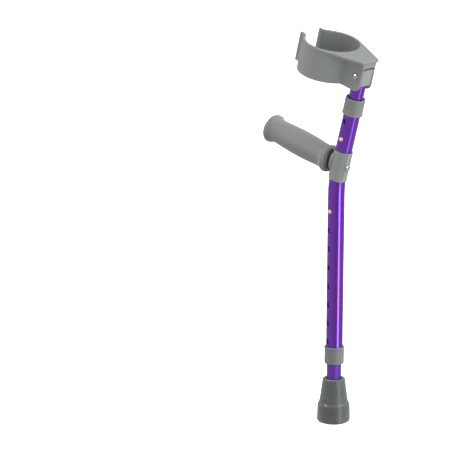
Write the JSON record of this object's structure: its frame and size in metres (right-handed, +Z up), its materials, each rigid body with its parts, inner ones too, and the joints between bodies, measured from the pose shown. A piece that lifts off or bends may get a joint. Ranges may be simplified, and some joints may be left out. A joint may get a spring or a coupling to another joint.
{
  "type": "forearm crutch",
  "caption": "Small forearm crutch with a bent tube, an open pivoting cuff, a hand grip, and snap-button height adjustment at both ends.",
  "frame": {"origin": "centre of the rubber tip's flat underside", "axes": "+Z up along the leg, +X to the front, where the hand grip points and the cuff opens, +Y to the side with the snap buttons"},
  "size_m": [0.1765, 0.083, 0.5243],
  "materials": {
    "purple_aluminium": "anodised, glossy",
    "grey_plastic": "moulded, satin",
    "grey_grip": "moulded soft vinyl, matte",
    "dark_rubber": "moulded, matte",
    "black_rubber": "moulded, matte",
    "steel": "zinc plated, bright",
    "brass": "polished"
  },
  "bodies": {
    "main": {"main_tube": "purple_aluminium", "lower_collar": "grey_plastic", "upper_collar": "grey_plastic", "grip_bracket": "grey_plastic", "grip_spacer": "black_rubber", "grip_core": "grey_plastic", "hand_grip": "grey_grip", "grip_bolt": "steel", "grip_nut": "steel"},
    "leg": {"leg_tube": "purple_aluminium", "rubber_tip": "dark_rubber", "tip_washer": "steel", "leg_spring": "steel"},
    "leg_snap": {"leg_button": "brass"},
    "forearm": {"cuff_tube": "purple_aluminium", "pivot_block": "grey_plastic", "cuff_spring": "steel"},
    "cuff_snap": {"cuff_button": "brass"},
    "cuff_body": {"cuff": "grey_plastic", "pivot_pin": "steel", "pivot_washer": "steel"}
  },
  "joints": [
    {"name": "leg_slide", "type": "slide", "parent": "main", "child": "leg", "axis": [0, 0, -1], "range_m": [0, 0.1778], "deforming": ["leg_button"]},
    {"name": "leg_snap_press", "type": "slide", "parent": "leg", "child": "leg_snap", "axis": [-0.1564, -0.9877, 0], "range_m": [0, 0.0036], "stiffness_N_per_m": 2000, "deforming": ["leg_spring"]},
    {"name": "forearm_slide", "type": "slide", "parent": "main", "child": "forearm", "axis": [-0.2605, 0, 0.9655], "range_m": [0, 0.0254], "deforming": ["cuff_button"]},
    {"name": "cuff_snap_press", "type": "slide", "parent": "forearm", "child": "cuff_snap", "axis": [0, -1, 0], "range_m": [0, 0.0036], "stiffness_N_per_m": 2000, "deforming": ["cuff_spring"]},
    {"name": "cuff_pivot", "type": "hinge", "parent": "forearm", "child": "cuff_body", "pos_m": [-0.03996, 0, 0.47596], "axis": [0, 1, 0], "range_deg": [-11, 9]}
  ]
}
